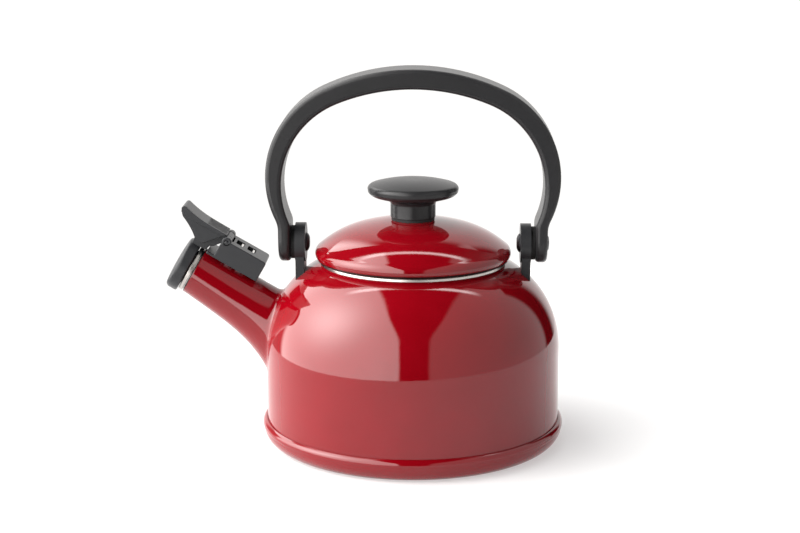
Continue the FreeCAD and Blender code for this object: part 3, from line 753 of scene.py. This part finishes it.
class World:
    """Studio surroundings painted by direction: two soft panels, a pale backdrop, dark gaps."""

    def __init__(self):
        world = bpy.data.worlds.new("studio")
        world.use_nodes = True
        scene.world = world
        self.tree = world.node_tree
        self.tree.nodes.clear()
        place = self.tree.nodes.new("ShaderNodeTexCoord")
        split = self.tree.nodes.new("ShaderNodeSeparateXYZ")
        self.tree.links.new(place.outputs["Generated"], split.inputs[0])
        self.x, self.y, self.z = split.outputs

    def math(self, operation, *values, clamp=False):
        node = self.tree.nodes.new("ShaderNodeMath")
        node.operation = operation
        node.use_clamp = clamp
        for socket, value in zip(node.inputs, values):
            if isinstance(value, (int, float)):
                socket.default_value = value
            else:
                self.tree.links.new(value, socket)
        return node.outputs[0]

    def step(self, value, edge, softness):
        """0 below the edge and 1 above it, with a smooth change."""
        node = self.tree.nodes.new("ShaderNodeMapRange")
        node.interpolation_type = "SMOOTHSTEP"
        self.tree.links.new(value, node.inputs["Value"])
        for name, number in (("From Min", -softness), ("From Max", softness)):
            shifted = self.math("ADD", edge, number)
            self.tree.links.new(shifted, node.inputs[name])
        return node.outputs["Result"]

    def product(self, *values):
        result = values[0]
        for value in values[1:]:
            result = self.math("MULTIPLY", result, value)
        return result

    def total(self, *values):
        result = values[0]
        for value in values[1:]:
            result = self.math("ADD", result, value)
        return result

    def towards(self, direction, power):
        """Share that is 1 in a direction and falls away from it."""
        x, y, z = Vector(direction).normalized()
        dot = self.total(self.product(self.x, x), self.product(self.y, y), self.product(self.z, z))
        return self.math("POWER", self.math("MAXIMUM", dot, 0.0), power)


CAMERA_GLOW, FILL_SHARE, DARK_GLOW = 1.05, 0.35, 0.01
HOT_SPOT, HOT_SPOT_POWER, HOT_SPOT_GLOW = (-0.81, -0.11, 0.57), 12, 7.1
LEFT_GLOW, WARM_GLOW, BACKDROP_GLOW, STRIP_GLOW = 4.6, 0.35, 1.15, 8.0

sky = World()
flat = sky.math("SQRT", sky.total(sky.product(sky.x, sky.x), sky.product(sky.y, sky.y), 1e-6))
depth = sky.math("DIVIDE", sky.y, flat)
high = sky.step(sky.z, 0.75, 0.2)
above = sky.step(sky.z, -0.3, 0.02)

left_edge = sky.math("SUBTRACT", -0.16, sky.product(high, 0.1))
left_back = sky.math("ADD", 0.52, sky.product(sky.step(sky.z, 0.4, 0.04), 0.36))
left_panel = sky.product(sky.math("SUBTRACT", 1.0, sky.step(sky.x, left_edge, 0.025)),
                         sky.math("SUBTRACT", 1.0, sky.step(depth, left_back, 0.05)), above)
hot_spot = sky.product(sky.towards(HOT_SPOT, HOT_SPOT_POWER), HOT_SPOT_GLOW)
left_glow = sky.math("ADD", LEFT_GLOW, hot_spot)
right_edge = sky.math("ADD", 0.23, sky.product(high, 0.14))
right_back = sky.math("ADD", 0.6, sky.product(sky.step(sky.z, 0.65, 0.05), 0.28))
right_panel = sky.product(sky.step(sky.x, right_edge, 0.03),
                          sky.math("SUBTRACT", 1.0, sky.step(depth, right_back, 0.04)), above)
backdrop = sky.product(sky.step(depth, 0.84, 0.05),
                       sky.math("SUBTRACT", 1.0, sky.step(sky.z, sky.product(sky.y, 1.2), 0.16)))
strip = sky.product(sky.step(sky.y, 0.25, 0.02), sky.math("SUBTRACT", 1.0, sky.step(sky.y, 0.31, 0.02)),
                    sky.step(sky.z, 0.84, 0.05))
warm_gap = sky.math("SUBTRACT", 1.0, sky.step(sky.x, -0.35, 0.1))
glow = sky.total(sky.product(left_panel, left_glow), right_panel, sky.product(warm_gap, WARM_GLOW),
                 sky.product(backdrop, BACKDROP_GLOW), sky.product(strip, STRIP_GLOW), DARK_GLOW)
rays = sky.tree.nodes.new("ShaderNodeLightPath")
glow = sky.product(glow, sky.math("SUBTRACT", 1.0, sky.product(rays.outputs["Is Diffuse Ray"],
                                                               1.0 - FILL_SHARE)))
seen = sky.tree.nodes.new("ShaderNodeMix")
seen.data_type = "FLOAT"
sky.tree.links.new(rays.outputs["Is Camera Ray"], seen.inputs["Factor"])
sky.tree.links.new(glow, seen.inputs["A"])
seen.inputs["B"].default_value = CAMERA_GLOW
surround = sky.tree.nodes.new("ShaderNodeBackground")
sky.tree.links.new(seen.outputs["Result"], surround.inputs["Strength"])
surround.inputs["Color"].default_value = (1, 0.985, 0.97, 1)
world_out = sky.tree.nodes.new("ShaderNodeOutputWorld")
sky.tree.links.new(surround.outputs[0], world_out.inputs["Surface"])

FLOOR_CENTRE, FLOOR_RADIUS = Vector((0.08, 0.03, 0)), 0.38
floor_builder = bmesh.new()
bmesh.ops.create_circle(floor_builder, cap_ends=True, segments=160, radius=FLOOR_RADIUS)
floor_mesh = bpy.data.meshes.new("floor")
floor_builder.to_mesh(floor_mesh)
floor_builder.free()
floor = bpy.data.objects.new("floor", floor_mesh)
floor.location = FLOOR_CENTRE
scene.collection.objects.link(floor)
paper, tree, shader, place = node_material("pale_floor")
two_tone(tree, noise(tree, place, 6, 2), (0.49, 0.49, 0.49), (0.51, 0.51, 0.51), shader.inputs["Base Color"])
shader.inputs["Roughness"].default_value = 0.7
shader.inputs["Specular IOR Level"].default_value = 0.2
shader.inputs["Emission Color"].default_value = EVEN_WHITE
shader.inputs["Emission Strength"].default_value = 0.45
floor_mesh.materials.append(paper)


def soft_light(name, position, target, size, watts, colour=(1, 1, 1)):
    """Square lamp that brightens surfaces but shows in no reflection."""
    light = bpy.data.lights.new(name, "AREA")
    light.shape = "SQUARE"
    light.size = size
    light.energy = watts
    light.color = colour
    lamp = bpy.data.objects.new(name, light)
    lamp.location = position
    lamp.rotation_euler = (Vector(target) - Vector(position)).to_track_quat("-Z", "Y").to_euler()
    lamp.visible_glossy = False
    lamp.visible_camera = False
    scene.collection.objects.link(lamp)


soft_light("key", (-0.62, -0.26, 0.46), (0, 0, 0.05), 0.8, 2.2, (1, 0.97, 0.94))
soft_light("top", (-0.1, 0.25, 0.85), (0, 0, 0.0), 0.6, 1.5)

CAMERA_PLACE, CAMERA_LENS, CAMERA_SENSOR = (0.0173, -0.8998, 0.301), 78.3, 36
CAMERA_LOOKS_DOWN, CAMERA_TURN = math.radians(13.0), math.radians(1.54)
camera_data = bpy.data.cameras.new("camera")
camera_data.sensor_width = CAMERA_SENSOR
camera_data.lens = CAMERA_LENS
camera = bpy.data.objects.new("camera", camera_data)
camera.location = CAMERA_PLACE
camera.rotation_euler = (math.pi / 2 - CAMERA_LOOKS_DOWN, 0, CAMERA_TURN)
scene.collection.objects.link(camera)
scene.camera = camera
scene.view_settings.view_transform = "Standard"
scene.view_settings.look = "None"
